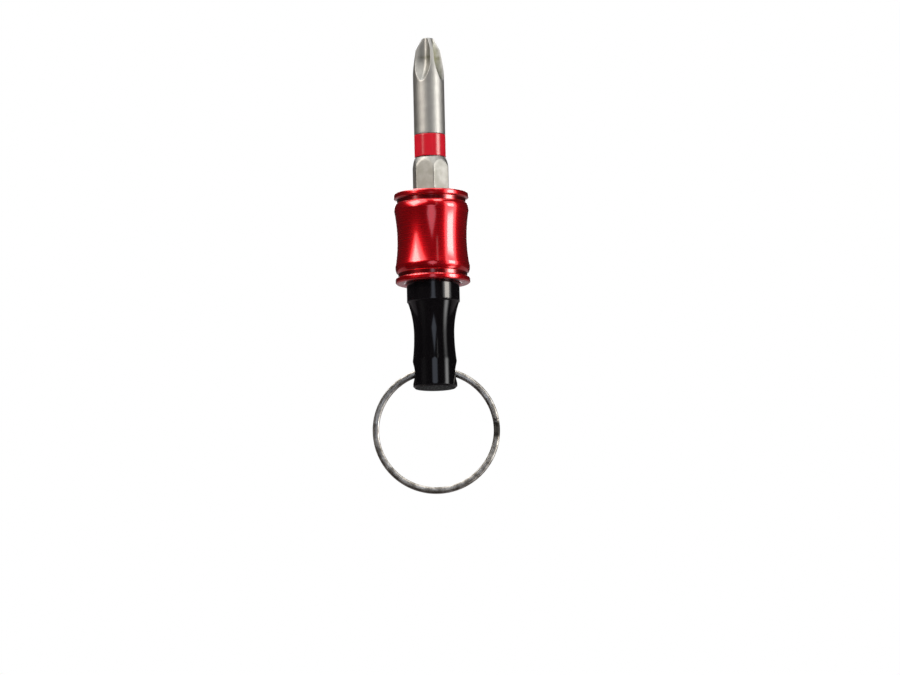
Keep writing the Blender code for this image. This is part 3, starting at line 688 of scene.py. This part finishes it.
def stemGrids():
    s = stemShape
    turnAngles = fullTurn(s["columns"])
    columnStep = 360 // s["columns"]
    top = span("stem")[2]
    holeMiddle = s["ringHoleHeight"]
    beltLow, beltHigh = s["beltLow"], s["beltHigh"]
    upper = hollowArc(s["waist"], s["waistHeight"], s["land"] - s["landEdge"], s["landBottom"], s["arcRows"])
    lower = hollowArc(s["waist"], s["waistHeight"], s["foot"], s["footLength"], s["arcRows"])

    def outside(height):
        heights = [0, s["footLength"], *lower[-2::-1, 1]]
        return np.interp(height, heights, [s["foot"], s["foot"], *lower[-2::-1, 0]])

    base = roundedLine([(0, 0), (s["foot"] - s["footChamfer"], 0), (s["foot"], s["footChamfer"]),
                        (s["foot"], beltLow)], radii=[0, 0.08, 0.08, 0], step=0.25)
    grids = [turnedGrid(base, turnAngles)]

    # half of the belt with the cross hole, out to its flared mouth, and the same mirrored
    angle, height, around = holeFrame(np.pi / 2, beltLow, beltHigh, s["columns"] // 2, s["beltRows"],
                                      s["foot"], holeMiddle)
    rim = s["flareRim"]
    rimHeight = holeMiddle + rim * np.sin(around)
    rimAngle = np.arcsin(rim * np.cos(around) / outside(rimHeight))
    rowAngle, rowHeight = holeApron(angle, height, rimAngle, rimHeight, s["beltApron"])
    apron = polar(outside(rowHeight), rowAngle, rowHeight)
    flareStart = s["foot"] - s["flare"]
    bore = roundedLine([(rim, flareStart + rim - s["ringHole"]), (s["ringHole"], flareStart),
                        (s["ringHole"], 0)], radii=[0, 0.25, 0], step=[0.025, 0.3], arcSteps=8)
    reach, depth = bore.T[:, :, None]
    across = reach * np.cos(around)
    up = holeMiddle + reach * np.sin(around)
    skin = np.sqrt(outside(up) ** 2 - across ** 2)
    wall = np.stack(np.broadcast_arrays(blendedLeast(skin, depth, s["flareEdge"]), across, up), axis=-1)
    half = np.concatenate([apron[:-1], wall])
    grids.append(np.concatenate([half, half[-2::-1] * (-1, 1, 1)]))

    # waist, land and nose, as far as the belt of the ball holes, and on from it
    ballLow, ballHigh = s["ballHeight"] - s["ballBelt"], s["ballHeight"] + s["ballBelt"]
    start = np.linspace(beltHigh, s["waistHeight"], s["waistRows"])
    waist = np.stack([outside(start), start], axis=1)
    land = roundedLine([tuple(upper[-1]), (s["land"], s["landBottom"] + s["landEdge"]),
                        (s["land"], s["shoulder"]), (s["nose"], s["shoulder"]), (s["nose"], ballLow)],
                       radii=[0, 0.1, 0.08, 0.05, 0], step=0.3)
    grids.append(turnedGrid(np.concatenate([waist, upper[1:], land[1:]]), turnAngles))
    clipLow, clipHigh = s["clipHeight"] - s["clipHalf"], s["clipHeight"] + s["clipHalf"]
    nose = roundedLine([(s["nose"], ballHigh), (s["nose"], clipLow), (s["clipSeat"], clipLow),
                        (s["clipSeat"], clipHigh), (s["nose"], clipHigh), (s["nose"], top - s["noseChamfer"]),
                        (s["nose"] - s["noseChamfer"], top), (s["mouth"], top)],
                       radii=[0, 0.06, 0.06, 0.06, 0.06, 0.06, 0.06, 0], step=0.4, arcSteps=4)
    grids.append(turnedGrid(nose, turnAngles))

    # socket: the flat's distance over the cosine of the angle from the flat's middle
    def socket(angle):
        turned = (angle - np.radians(s["hexTurn"]) + np.pi / 6) % (np.pi / 3) - np.pi / 6
        return s["socketFlat"] / np.cos(turned)

    mouth, pilot, bottom = s["mouth"], s["pilot"], s["socketFloor"]
    wallRadius = socket(turnAngles)
    meeting = top - (mouth - wallRadius)
    share = np.linspace(0, 1, s["socketRows"] + 1)[:, None]
    grids.append(polar(mouth + (wallRadius - mouth) * share, turnAngles, top + (meeting - top) * share))
    grids.append(polar(wallRadius, turnAngles, meeting + (ballHigh - meeting) * share))
    grids.append(polar(wallRadius, turnAngles, ballLow + (bottom - ballLow) * share))
    grids.append(polar(wallRadius + (pilot - wallRadius) * share, turnAngles, bottom + 0 * share))
    drop = pilot / math.tan(math.radians(s["pilotAngle"] / 2))
    grids.append(polar(pilot * (1 - share), turnAngles, bottom - drop * share))

    # belt of the ball holes: plain stretches, and a facet with its hole on each side
    ballRows = np.linspace(ballLow, ballHigh, s["ballRows"] + 1)[:, None]
    facet = s["facet"]
    for side in (0, 180):
        first = s["hexTurn"] + side
        belt = np.radians(np.arange(first + facet, first + 180 - facet + 1, columnStep))
        grids.append(polar(s["nose"], belt, ballRows))
        grids.append(polar(socket(belt), belt, ballRows))
        angle, height, around = holeFrame(np.radians(facet), ballLow, ballHigh, 2 * facet // columnStep,
                                          s["ballRows"], s["nose"], s["ballHeight"])
        across = s["ballHole"] * np.cos(around)
        up = s["ballHeight"] + s["ballHole"] * np.sin(around)
        rimAngle = np.arcsin(across / s["nose"])
        rowAngle, rowHeight = holeApron(angle, height, rimAngle, up, s["ballApron"])
        outer = polar(s["nose"], rowAngle, rowHeight)
        rimAngle = np.arctan(across / s["socketFlat"])
        rowAngle, rowHeight = holeApron(angle, height, rimAngle, up, s["ballApron"])
        inner = polar(s["socketFlat"] / np.cos(rowAngle), rowAngle, rowHeight)
        x, y, z = np.moveaxis(np.concatenate([outer, inner[::-1]]), -1, 0)
        turn = np.radians(first)
        grids.append(np.stack([x * np.cos(turn) - y * np.sin(turn),
                               x * np.sin(turn) + y * np.cos(turn), z], axis=-1))
    return grids


# Split ring: flattened wire wound twice round, its two turns lying on each other. The path is a circle whose
# layer changes by an eased share at the crossing.
ringShape = {
    "width": 1.2, "thickness": 0.72, "gap": 0.05, "crossing": 18.0, "squareness": 2.5, "endRound": 0.16,
    "soilAndShade": 0.95, "shadeReach": (0.32, 0.54),      # painted shade at the crossing, in shares of its angle
    "rows": 760, "sectionPoints": 28,
}


def splitRing(finish):
    s = ringShape
    outer, bottom = span("split_ring")[:2]
    mean = outer - s["width"] / 2
    middle = bottom + outer
    crossing = math.radians(s["crossing"])
    turn = np.linspace(0, 2 * tau - crossing, s["rows"])
    angle = turn + crossing / 2
    crossed = easedShare(turn, tau - crossing, tau)
    layer = (s["thickness"] + s["gap"]) / 2 * (2 * crossed - 1)
    out = np.stack([np.cos(angle), 0 * angle, np.sin(angle)], axis=1)
    path = out * mean + np.stack([0 * layer, layer, middle + 0 * layer], axis=1)
    up = np.broadcast_to((0.0, 1.0, 0.0), path.shape)
    section = roundedSection(s["width"] / 2, s["thickness"] / 2, s["squareness"], s["sectionPoints"])
    grid = sweptGrid(path, out, up, section, s["endRound"])
    middleLine = grid.mean(axis=1)
    side = np.arctan2(middleLine[:, 2] - middle, middleLine[:, 0])
    # painted shade over the crossing, where the wire steps from one turn to the other
    fullTo, cleanFrom = np.array(s["shadeReach"]) * crossing
    soilAndShade = s["soilAndShade"] * (1 - easedShare(np.abs(side), fullTo, cleanFrom))
    return makePiece("splitRing", [grid], finish, "ring", "split_ring",
                     soilAndShade=soilAndShade[:, None], wires=True)


# Sleeve spring: a helix of round wire, whose height grows evenly with its turn
springShape = {
    "wire": 0.45, "turns": 5, "endRound": 0.05, "squareness": 2.0, "turnRows": 64, "sectionPoints": 16,
}


def sleeveSpring(finish):
    s = springShape
    low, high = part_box("sleeve_spring")
    outer = high.x / mm
    half = s["wire"] / 2
    mean = outer - half
    bottom, top = low.z / mm + half, high.z / mm - half
    share = np.linspace(0, 1, s["turnRows"] * s["turns"] + 1)
    angle = tau * s["turns"] * share
    out = polar(1.0, angle, 0.0)
    path = polar(mean, angle, bottom + (top - bottom) * share)
    up = np.broadcast_to((0.0, 0.0, 1.0), path.shape)
    section = roundedSection(half, half, s["squareness"], s["sectionPoints"])
    grid = sweptGrid(path, out, up, section, s["endRound"])
    piece = makePiece("sleeveSpring", [grid], finish, "holder", "sleeve_spring", wires=True)
    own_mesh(piece)
    return piece


# Retaining clip: an open ring of round wire
clipShape = {
    "wire": 0.8, "opening": 50.0, "endRound": 0.12, "squareness": 2.0, "rows": 121, "sectionPoints": 24,
}


def retainingClip(finish):
    s = clipShape
    outer, bottom, top = span("retaining_clip")
    half = s["wire"] / 2
    halfGap = math.radians(s["opening"] / 2)
    angle = np.linspace(np.pi / 2 + halfGap, 2.5 * np.pi - halfGap, s["rows"])
    path = polar(outer - half, angle, (bottom + top) / 2 + 0 * angle)
    up = np.broadcast_to((0.0, 0.0, 1.0), path.shape)
    section = roundedSection(half, half, s["squareness"], s["sectionPoints"])
    grid = sweptGrid(path, polar(1.0, angle, 0.0), up, section, s["endRound"])
    return makePiece("retainingClip", [grid], finish, "holder", "retaining_clip", wires=True)


# Lock balls: whole spheres, the radius times the cosine and sine of a tilt that runs from pole to pole
ballShape = {"rows": 41, "columns": 64}


def lockBall(side, finish):
    node = "lock_ball_" + side
    low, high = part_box(node)
    middle = np.array((low + high) / 2) / mm
    radius = (high.z - low.z) / 2 / mm
    tilt = np.linspace(-np.pi / 2, np.pi / 2, ballShape["rows"])[:, None]
    grid = polar(radius * np.cos(tilt), fullTurn(ballShape["columns"]), radius * np.sin(tilt)) + middle
    return makePiece("lockBall" + side.capitalize(), [grid], finish, "ball_" + side, node)


driverBit(satinSteel())
colourBand(bandPlastic())
releaseSleeve(redAnodised())
makePiece("stem", stemGrids(), blackAnodised(), "holder", "stem", sharpAngle=35.0)
splitRing(drawnWire("nickel"))
sleeveSpring(drawnWire("spring"))
retainingClip(drawnWire("clip"))
lapped = ballSteel()
for ballSide in ("right", "left"):
    lockBall(ballSide, lapped)


# Two directions turned about the third by an angle.
def rolled(side, up, angle):
    return side * math.cos(angle) + up * math.sin(angle), up * math.cos(angle) - side * math.sin(angle)


# Puts an object at a place, with its own x, y and z along three directions.
def setPlace(item, x, y, z, place):
    matrix = np.eye(4)
    matrix[:3, :3] = np.stack([x, y, z], axis=1)
    matrix[:3, 3] = place
    item.matrix_world = Matrix(matrix.tolist())


# Camera: a long lens a little below the holder, looking up at it
cameraView = {
    "elevation": -8.5, "roll": -1.3, "distance": 1.5, "nearest": 0.01, "farthest": 20.0,
    "pixelsPerMm": 5.26, "imageWidth": 900, "imageHeight": 675, "sensor": 36.0,
    "axisPixel": (435.4, 388.3),      # where the middle of the stem's end face falls
}


def placeCamera():
    c = cameraView
    lens = bpy.data.cameras.new("camera")
    lens.sensor_width = c["sensor"]
    lens.lens = c["distance"] / mm * c["pixelsPerMm"] * c["sensor"] / c["imageWidth"]
    lens.clip_start = c["nearest"]
    lens.clip_end = c["farthest"]
    camera = bpy.data.objects.new("camera", lens)
    bpy.context.scene.collection.objects.link(camera)
    tilt = math.radians(c["elevation"])
    forward = np.array([0, math.cos(tilt), -math.sin(tilt)])
    right = np.array([1.0, 0, 0])
    right, up = rolled(right, np.cross(right, forward), math.radians(c["roll"]))
    pixel = mm / c["pixelsPerMm"]
    aside = (c["axisPixel"][0] - c["imageWidth"] / 2) * pixel
    above = (c["imageHeight"] / 2 - c["axisPixel"][1]) * pixel
    place = -forward * c["distance"] - right * aside - up * above
    setPlace(camera, right, up, -forward, place)
    bpy.context.scene.camera = camera
    print("camera: lens", round(lens.lens, 1), "mm, at", [round(float(x), 4) for x in place])


placeCamera()


# Studio: white background, pale floor, soft boxes, and a dark drape that only reflections see.
# Lengths are in metres.
studio = {
    "floorHeight": -0.34, "floorColour": "#F1F0EE", "floorRoughness": 0.9,
    "floorFadeStart": 0.45, "floorFadeEnd": 1.0,
    "drapeRadius": 0.7, "drapeHeight": 0.9, "drapeFoot": -0.04, "drapeColour": "#242223", "drapeColumns": 96,
    "gap": 9.0,                                             # degrees, half of the drape's opening at the rear
    "bowlHole": 0.02, "bowlFloor": 0.55, "bowlLift": 0.01,  # the drape's lower part, just above the floor
    "rearGain": 14.0, "paleStart": -0.25, "paleEnd": 0.3,   # how much paler it is at the rear, and from where
    "softEdge": 0.6, "fill": 0.45, "target": (0.0, 0.0, 0.025),
}
softBoxes = {     # azimuth from the camera, elevation, distance, width, height, turn, radiance, colour
    "rightCore": (62.5, 9.5, 0.5, 0.22, 0.26, 0.0, 9.4, "#FFF8EE"),
    "rightStrip": (63.0, 0.0, 0.53, 0.44, 0.8, 0.0, 1.8, "#FFFFFF"),
    "leftCore": (-56.0, 32.5, 0.55, 0.3, 0.3, 45.0, 6.4, "#FFF0E0"),
    "leftWindow": (-54.0, 40.5, 0.6, 0.66, 0.66, 45.0, 2.7, "#FFFCF8"),
    "nearCard": (0.0, -1.5, 0.13, 0.055, 0.055, 45.0, 1.35, "#D6E0F2"),
    "slimCard": (17.0, 20.5, 0.6, 0.06, 0.22, 0.0, 0.6, "#FFFFFF"),
    "ceilingCard": (25.0, 48.5, 0.6, 0.25, 0.3, 0.0, 4.5, "#FFFBF4"),
    "rear": (180.0, 25.0, 0.6, 0.4, 0.4, 0.0, 2.0, "#FFFFFF"),
    "rearLeft": (-138.0, 58.0, 0.6, 0.4, 0.3, 0.0, 5.0, "#FFFFFF"),
}
flags = {         # azimuth, distance, width, low edge, high edge, glow of the middle, its half width
    "rightFlag": (61.0, 0.03, 0.032, 0.0004, 0.0199, 4.6, 0.008),
    "leftFlag": (-56.0, 0.03, 0.036, 0.0004, 0.0274, 0.1, 0.012),
    "tailFlag": (180.0, 0.03, 0.03, -0.014, -0.0012, 0.05, 0.012),
}
flagGlow = {              # glow at a card's edges; heights between which the glow fades, and the share left
    "edge": 0.02, "fadeStart": 0.0075, "fadeEnd": 0.0165, "fadeLeast": 0.14,
}


# One grid, in metres, as an object of the studio.
def studioObject(name, grid, finish):
    mesh = bpy.data.meshes.new(name)
    mesh.from_pydata(grid.reshape(-1, 3), [], gridFaces(*grid.shape[:2]))
    mesh.materials.append(finish)
    item = bpy.data.objects.new(name, mesh)
    bpy.context.scene.collection.objects.link(item)
    return item


# Pale floor that fades out with the distance from the object, and is clear from below
def floorFinish():
    finish, tree = newFinish("pale studio floor, painted")
    place = addNode(tree, "TexCoord")["Object"]
    flat = addNode(tree, "VectorMath", {"operation": "MULTIPLY", 1: (1, 1, 0)}, {0: place})["Vector"]
    reach = addNode(tree, "VectorMath", {"operation": "LENGTH"}, {0: flat})["Value"]
    far = addNode(tree, "MapRange", {"interpolation_type": "SMOOTHSTEP", "From Min": studio["floorFadeStart"],
                                     "From Max": studio["floorFadeEnd"]}, {"Value": reach})["Result"]
    below = addNode(tree, "NewGeometry")["Backfacing"]
    clear = addNode(tree, "Math", {"operation": "MAXIMUM"}, {0: far, 1: below})["Value"]
    paint = {"Base Color": linear(studio["floorColour"]), "Roughness": studio["floorRoughness"]}
    shader = addNode(tree, "BsdfPrincipled", paint)["BSDF"]
    glass = addNode(tree, "BsdfTransparent")["BSDF"]
    mixed = addNode(tree, "MixShader", None, {0: clear, 1: shader, 2: glass})["Shader"]
    addNode(tree, "OutputMaterial", None, {"Surface": mixed})
    return finish


# A drape that reflections see at its own plain colour, paler towards the rear by a gain
def drapeFinish(name, rearGain):
    finish, tree = newFinish(name)
    place = addNode(tree, "TexCoord")["Object"]
    depth = addNode(tree, "SeparateXYZ", None, {"Vector": place})["Y"]
    gain = addNode(tree, "MapRange", {"interpolation_type": "SMOOTHSTEP", "From Min": studio["paleStart"],
                                      "From Max": studio["paleEnd"], "To Min": 1.0, "To Max": rearGain},
                   {"Value": depth})["Result"]
    felt = {"Color": linear(studio["drapeColour"])}
    shade = addNode(tree, "Emission", felt, {"Strength": gain})["Emission"]
    addNode(tree, "OutputMaterial", None, {"Surface": shade})
    return finish


# A small dark card that keeps lamps and the pale rear off the stem, with a glow down its middle that eases
# out with the distance along its width and fades with the height
def flagFinish(name, side, glow, halfWidth):
    finish, tree = newFinish(name + " card, painted")
    place = addNode(tree, "TexCoord")["Object"]
    offset = addNode(tree, "VectorMath", {"operation": "DOT_PRODUCT", 1: side}, {0: place})["Value"]
    offset = addNode(tree, "Math", {"operation": "ABSOLUTE"}, {0: offset})["Value"]
    ease = {"interpolation_type": "SMOOTHSTEP", "From Max": halfWidth,
            "To Min": glow, "To Max": flagGlow["edge"]}
    light = addNode(tree, "MapRange", ease, {"Value": offset})["Result"]
    height = addNode(tree, "SeparateXYZ", None, {"Vector": place})["Z"]
    limits = {"From Min": flagGlow["fadeStart"], "From Max": flagGlow["fadeEnd"],
              "To Min": 1.0, "To Max": flagGlow["fadeLeast"]}
    fade = addNode(tree, "MapRange", limits, {"Value": height})["Result"]
    light = addNode(tree, "Math", {"operation": "MULTIPLY"}, {0: light, 1: fade})["Value"]
    shade = addNode(tree, "Emission", None, {"Strength": light})["Emission"]
    addNode(tree, "OutputMaterial", None, {"Surface": shade})
    return finish


# Soft box cloth, brighter in its middle: over the panel's own u and v, 4 u (1 - u) eased to full light
def softLight(lamp):
    lamp.use_nodes = True
    tree = lamp.node_tree
    tree.nodes.clear()
    place = addNode(tree, "NewGeometry")["Parametric"]
    other = addNode(tree, "VectorMath", {"operation": "SUBTRACT", 0: (1, 1, 1)}, {1: place})["Vector"]
    hill = addNode(tree, "VectorMath", {"operation": "MULTIPLY"}, {0: place, 1: other})["Vector"]
    parts = addNode(tree, "SeparateXYZ", None, {"Vector": hill})
    ease = {"interpolation_type": "SMOOTHSTEP", "From Max": studio["softEdge"] / 4}
    wide = addNode(tree, "MapRange", ease, {"Value": parts["X"]})["Result"]
    high = addNode(tree, "MapRange", ease, {"Value": parts["Y"]})["Result"]
    strength = addNode(tree, "Math", {"operation": "MULTIPLY"}, {0: wide, 1: high})["Value"]
    glow = addNode(tree, "Emission", None, {"Strength": strength})["Emission"]
    addNode(tree, "OutputLight", None, {"Surface": glow})


# Floor, the drape in two parts, which are a wall that is open at the rear and a bowl below it, and the cards
def buildStage():
    s = studio
    across = np.linspace(-1, 1, 3) * s["floorFadeEnd"]
    x, y = np.meshgrid(across, across)
    studioObject("floor", np.stack([x, y, 0 * x + s["floorHeight"]], axis=-1), floorFinish())
    gap = np.radians(s["gap"])
    around = np.linspace(np.pi / 2 + gap, 2.5 * np.pi - gap, s["drapeColumns"] + 1)
    low = s["floorHeight"] + s["bowlLift"]
    foot = (s["drapeRadius"], s["drapeFoot"])
    wall = np.array([foot, (s["drapeRadius"], s["drapeHeight"])])
    bowl = np.array([(s["bowlHole"], low), (s["bowlFloor"], low), foot])
    for name, profile, turn, rearGain in (("drape", wall, around, 1.0),
                                          ("drapeBowl", bowl, fullTurn(s["drapeColumns"]), s["rearGain"])):
        drape = studioObject(name, turnedGrid(profile, turn), drapeFinish(name + ", felt", rearGain))
        drape.visible_camera = False
        drape.visible_diffuse = False
        drape.visible_shadow = False
    for name, (azimuth, distance, width, low, high, glow, halfWidth) in flags.items():
        a = math.radians(azimuth)
        x, z = np.meshgrid(np.array([-0.5, 0.5]) * width, np.array([low, high]))
        spot = np.stack([distance * math.sin(a) + x * math.cos(a),
                         x * math.sin(a) - distance * math.cos(a), z], axis=-1)
        finish = flagFinish(name, (math.cos(a), math.sin(a), 0), glow, halfWidth)
        card = studioObject(name, spot, finish)
        card.visible_camera = False
        card.visible_diffuse = False


# World: white to the camera and to reflections, and a dimmer fill on the object
def buildWorld():
    world = bpy.data.worlds.new("studio")
    bpy.context.scene.world = world
    world.use_nodes = True
    tree = world.node_tree
    tree.nodes.clear()
    path = addNode(tree, "LightPath")
    seen = addNode(tree, "Math", {"operation": "MAXIMUM"},
                   {0: path["Is Camera Ray"], 1: path["Is Glossy Ray"]})["Value"]
    seen = addNode(tree, "Math", {"operation": "MAXIMUM"}, {0: seen, 1: path["Is Transmission Ray"]})["Value"]
    fill = addNode(tree, "Background", {"Color": (1, 1, 1, 1), "Strength": studio["fill"]})["Background"]
    white = addNode(tree, "Background", {"Color": (1, 1, 1, 1), "Strength": 1.0})["Background"]
    mixed = addNode(tree, "MixShader", None, {0: seen, 1: fill, 2: white})["Shader"]
    addNode(tree, "OutputWorld", None, {"Surface": mixed})


# Soft boxes: area lamps that face the holder; power is radiance times pi times the area
def hangLights():
    target = np.array(studio["target"])
    for name, (azimuth, elevation, distance, width, height, turn, radiance, colour) in softBoxes.items():
        a, e, t = np.radians([azimuth, elevation, turn])
        back = np.array([math.sin(a) * math.cos(e), -math.cos(a) * math.cos(e), math.sin(e)])
        side = np.array([math.cos(a), math.sin(a), 0])
        side, up = rolled(side, np.cross(back, side), t)
        lamp = bpy.data.lights.new(name, "AREA")
        lamp.shape = "RECTANGLE"
        lamp.size = width
        lamp.size_y = height
        lamp.energy = radiance * math.pi * width * height
        lamp.color = linear(colour)[:3]
        softLight(lamp)
        box = bpy.data.objects.new(name, lamp)
        bpy.context.scene.collection.objects.link(box)
        setPlace(box, side, up, back, target + back * distance)
        box.visible_camera = False


buildStage()
buildWorld()
hangLights()
bpy.context.scene.view_settings.view_transform = "Standard"
print("studio:", len(softBoxes), "soft boxes,", len(flags), "cards")
